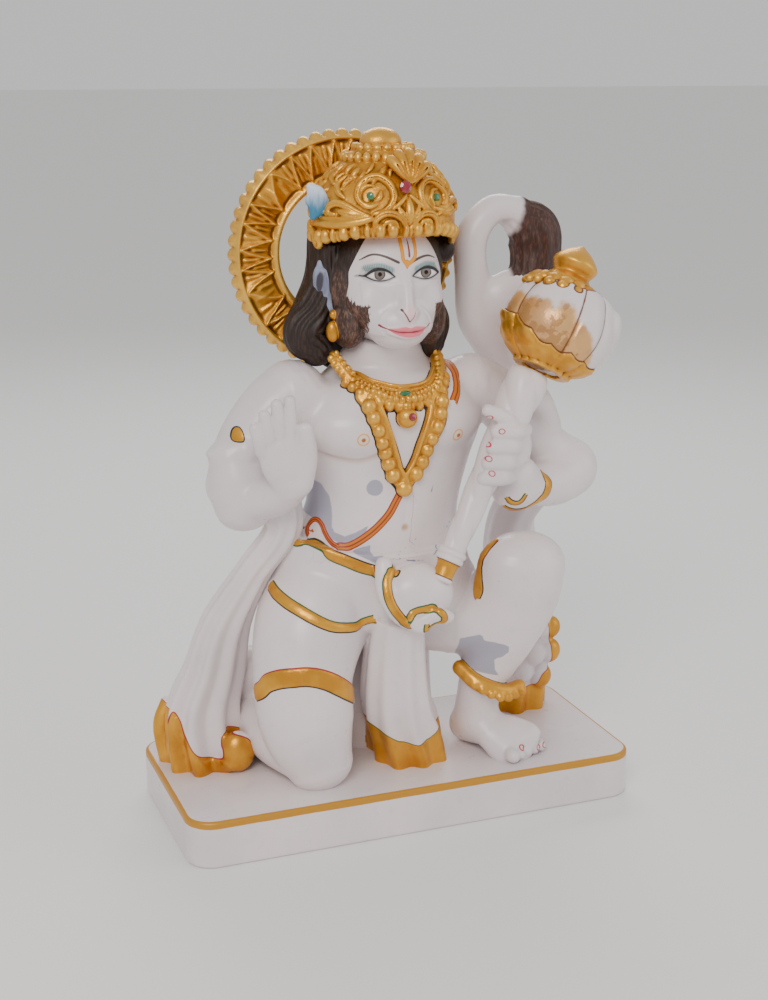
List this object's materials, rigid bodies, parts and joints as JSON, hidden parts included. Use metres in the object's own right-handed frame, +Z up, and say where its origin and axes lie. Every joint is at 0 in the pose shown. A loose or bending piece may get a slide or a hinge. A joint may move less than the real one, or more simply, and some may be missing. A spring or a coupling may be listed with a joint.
{
  "type": "hanuman figure",
  "caption": "Painted marble murti of Hanuman kneeling on one knee, palm raised, mace on the shoulder, halo behind, on its own plinth.",
  "frame": {"origin": "centre of the plinth's underside", "axes": "+Z up, the figure faces -Y, +X to the viewer's right"},
  "size_m": [0.318, 0.1431, 0.4566],
  "materials": {
    "painted_marble": "softly polished white marble with grey veins, painted in gold, red, green and brown",
    "ruby_glass": "polished red glass cabochon",
    "emerald_glass": "polished green glass cabochon"
  },
  "bodies": {
    "root": {"hanuman_statue": "painted_marble", "crown_ruby": "ruby_glass", "crown_emerald_right": "emerald_glass", "crown_emerald_left": "emerald_glass", "necklace_emerald": "emerald_glass", "pendant_ruby": "ruby_glass"}
  },
  "joints": []
}
